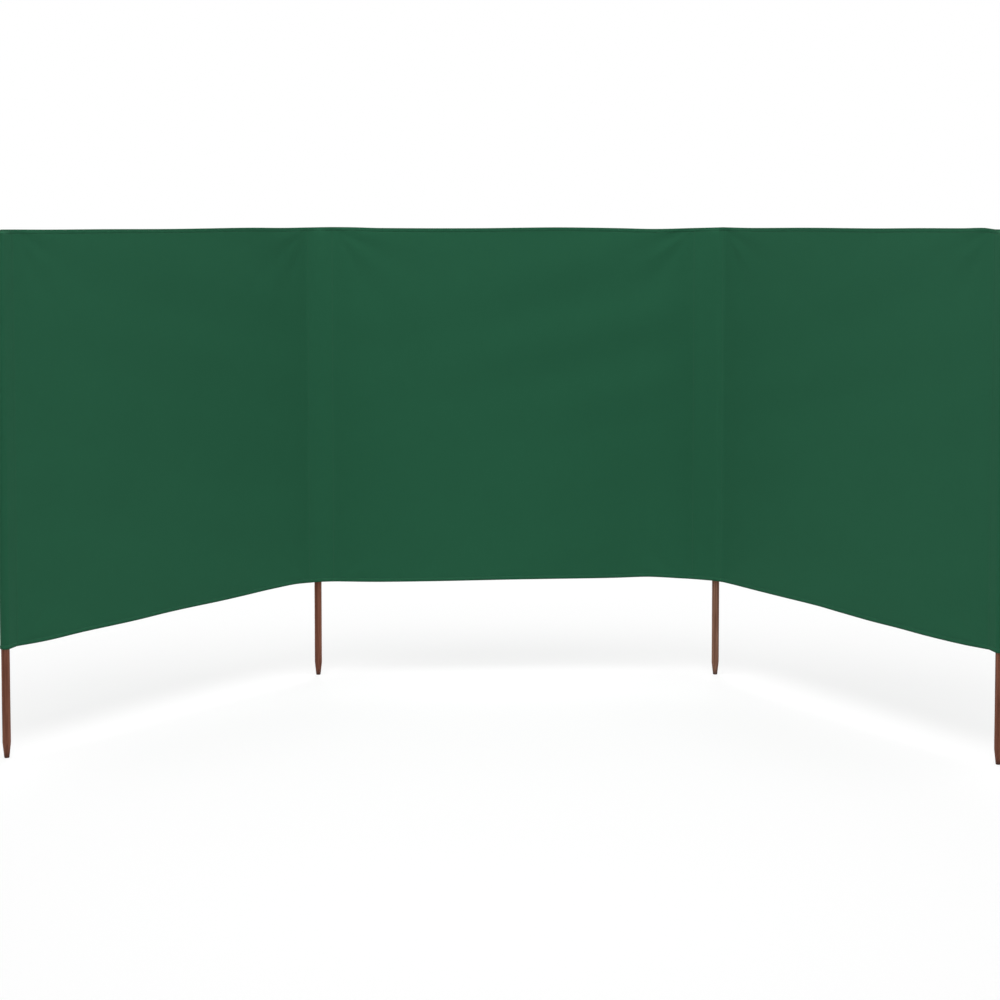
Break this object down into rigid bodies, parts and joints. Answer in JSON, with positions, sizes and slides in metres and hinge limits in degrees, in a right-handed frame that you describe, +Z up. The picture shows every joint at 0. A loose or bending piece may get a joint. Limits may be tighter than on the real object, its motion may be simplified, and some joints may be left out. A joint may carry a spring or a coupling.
{
  "type": "beach windbreak",
  "caption": "Freestanding cloth windbreak: bays of plain green canvas on round pointed wooden poles in sewn pockets, with wings that swing round the inner poles.",
  "frame": {"origin": "centre of the flat end of the left inner pole's foot", "axes": "+X along the middle bay to the right inner pole, -Y towards the sheltered front, +Z up along the poles"},
  "size_m": [2.823, 1.1787, 1.5],
  "materials": {
    "cloth": "plain woven canvas, matt, dark green",
    "wood": "turned softwood, brown stain, matt"
  },
  "bodies": {
    "middle_bay": {"left_inner_pole": "wood", "right_inner_pole": "wood", "left_inner_pocket": "cloth", "right_inner_pocket": "cloth", "middle_cloth": "cloth", "middle_top_hem": "cloth", "middle_bottom_hem": "cloth"},
    "left_wing": {"left_end_pole": "wood", "left_end_pocket": "cloth", "left_cloth": "cloth", "left_top_hem": "cloth", "left_bottom_hem": "cloth", "left_wing_seam": "cloth"},
    "right_wing": {"right_end_pole": "wood", "right_end_pocket": "cloth", "right_cloth": "cloth", "right_top_hem": "cloth", "right_bottom_hem": "cloth", "right_wing_seam": "cloth"}
  },
  "joints": [
    {"name": "left_wing_swing", "type": "hinge", "parent": "middle_bay", "child": "left_wing", "pos_m": [0, 0, 0.9], "axis": [0, 0, 1], "range_deg": [-143.5, 36.5]},
    {"name": "right_wing_swing", "type": "hinge", "parent": "middle_bay", "child": "right_wing", "pos_m": [1.333, 0, 0.9], "axis": [0, 0, -1], "range_deg": [-149.8, 30.2]}
  ]
}
